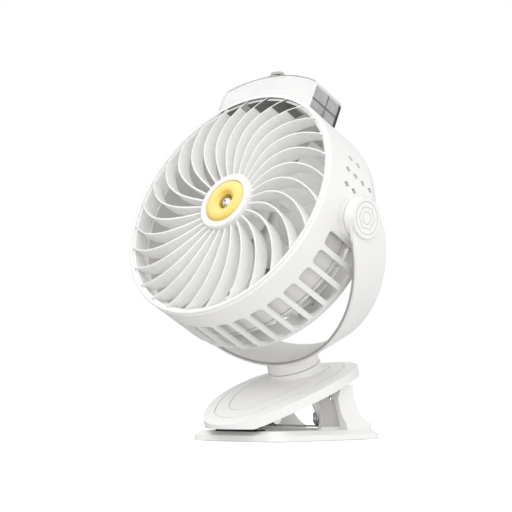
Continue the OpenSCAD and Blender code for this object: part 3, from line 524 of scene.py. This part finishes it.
def slot_finishes():
    """A finish for each material slot of the record, under the slot's name."""
    return [
        moulded_plastic("white_shell", SHELL_WHITE),
        moulded_plastic("white_cap", SHELL_WHITE, smoothest=0.33),
        moulded_plastic("white_inner", SHROUD_WHITE, smoothest=0.45),
        moulded_plastic("white_fan", FAN_WHITE, smoothest=0.31),
        moulded_plastic("button_white", FAN_WHITE, smoothest=0.29),
        moulded_plastic("grey_nylon", (0.16, 0.16, 0.165)),
        glossy_plastic("accent_gloss", RING_YELLOW, RING_DEEP_YELLOW),
        rubber("black_rubber", (0.012, 0.012, 0.013)),
        rubber("dark_seal", (0.03, 0.03, 0.032)),
        rubber("plug_grey", (0.34, 0.325, 0.31), smoothest=0.6),
        metal("bright_steel", (0.72, 0.72, 0.72), smoothest=0.14, squeeze=(0.1, 1, 1)),
        metal("screw_steel", (0.62, 0.62, 0.63), smoothest=0.22),
        metal("spring_wire", (0.62, 0.62, 0.62), smoothest=0.18, squeeze=(1, 0.4, 0.4)),
        metal("motor_can", (0.55, 0.55, 0.56), smoothest=0.26, squeeze=(1, 1, 0.1)),
        metal("nozzle_chrome", (0.80, 0.80, 0.81), smoothest=0.34),
        metal("piezo_brass", (0.72, 0.52, 0.22), smoothest=0.22),
        clear_plastic("clear_tube", (0.93, 0.94, 0.94), smoothest=0.12, clarity=0.8),
        clear_plastic("lens_clear", (0.85, 0.93, 0.97), smoothest=0.15, clarity=0.7),
        tank_plastic("clear_tank"),
        pressed_cotton("cotton"),
        shrink_film("cell_wrap"),
        circuit_board("board_green"),
    ]


def marked_finishes():
    """A finish for each node that carries painted shade, under the node's name."""
    return {
        "drum": moulded_plastic(
            "drum_shell", SHELL_WHITE, marks=[front_face_shade, dock_shade]
        ),
        "front_grille": moulded_plastic(
            "grille_shell", GRILLE_LIT_WHITE, rounding=0.25, marks=[front_face_shade, dock_shade]
        ),
        "base_jaw": moulded_plastic("base_shell", SHELL_WHITE, marks=[recessed_ear_shade]),
        "yoke": moulded_plastic("yoke_shell", SHELL_WHITE, marks=[strap_edge_shade]),
    }


def dress_nodes():
    """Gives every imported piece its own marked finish, or else that of its slot."""
    by_slot = {finish.name: finish for finish in slot_finishes()}
    by_node = marked_finishes()
    for part in frame["record"]["subparts"]:
        finish = by_node.get(part["node"], by_slot[part["material_slot"]])
        materials = frame["nodes"][part["node"]].data.materials
        materials.clear()
        materials.append(finish.material)


# ---------------------------------------------------------------- spring


def add_spring():
    """Copy of the spring's wire, shown in place of the hidden imported spring."""
    wire = frame["nodes"]["clip_spring"].data.copy()
    spring = bpy.data.objects.new("sprung_wire", wire)
    scene.collection.objects.link(spring)
    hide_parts("clip_spring")
    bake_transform(spring)


# ---------------------------------------------------------------- studio

FLOOR_SIZE = 30000 * MM
FLOOR_GLOW = 0.35

# The side of the fan that each soft lamp lights, and the lamp's strength.
SOFT_LAMPS = {
    "top": ((0, 0, 1), 1.0),
    "underside": ((0, 0, -1), 1.3),
    "right": ((0.74, 0.67, 0), 1.3),
    "front": ((0.67, -0.74, 0), 1.4),
    "back": ((-0.67, 0.74, 0), 0.6),
    "upper left": ((-0.74, -0.67, 1), 1.7),
    "upper front": ((0.67, -0.74, 1), 0.8),
}
# Power of the cosine by which a lamp's light falls off to its sides.
LAMP_FOCUS = 3


def add_floor():
    """Wide pale studio floor. Only the camera sees it, so it throws no light back up."""
    finish = Finish("studio_floor", Roughness=0.7, Emission_Strength=FLOOR_GLOW)
    clouds = finish.noise(size=900, detail=1)
    pale = finish.blend(clouds, (0.93, 0.93, 0.93), (0.95, 0.95, 0.95))
    finish.feed("Base Color", pale)
    finish.feed("Emission Color", pale)
    bpy.ops.mesh.primitive_plane_add(size=FLOOR_SIZE, location=(0, 0, 0))
    floor = bpy.context.active_object
    floor.name = "studio_floor"
    floor.data.materials.append(finish.material)
    floor.visible_diffuse = False
    floor.visible_glossy = False
    floor.visible_shadow = False


def light_studio():
    """Soft light from each lamp's side. The camera sees plain white in its place."""
    world = bpy.data.worlds.new("studio_air")
    world.use_nodes = True
    scene.world = world
    air = Tree(world.node_tree)
    direction = air.node("ShaderNodeTexCoord", output="Generated")
    glow = 0.0
    for aim, strength in SOFT_LAMPS.values():
        towards = air.project(direction, tuple(Vector(aim).normalized()))
        glow += strength * towards.clamp() ** LAMP_FOCUS
    seen = air.node("ShaderNodeLightPath", output="Is Camera Ray")
    shown = seen + (1 - seen) * glow
    background = world.node_tree.nodes["Background"]
    background.inputs["Color"].default_value = (1, 1, 1, 1)
    world.node_tree.links.new(shown.socket, background.inputs["Strength"])
    scene.view_settings.view_transform = "Standard"
    scene.view_settings.look = "None"


add_camera()
dress_nodes()
add_spring()
add_floor()
light_studio()
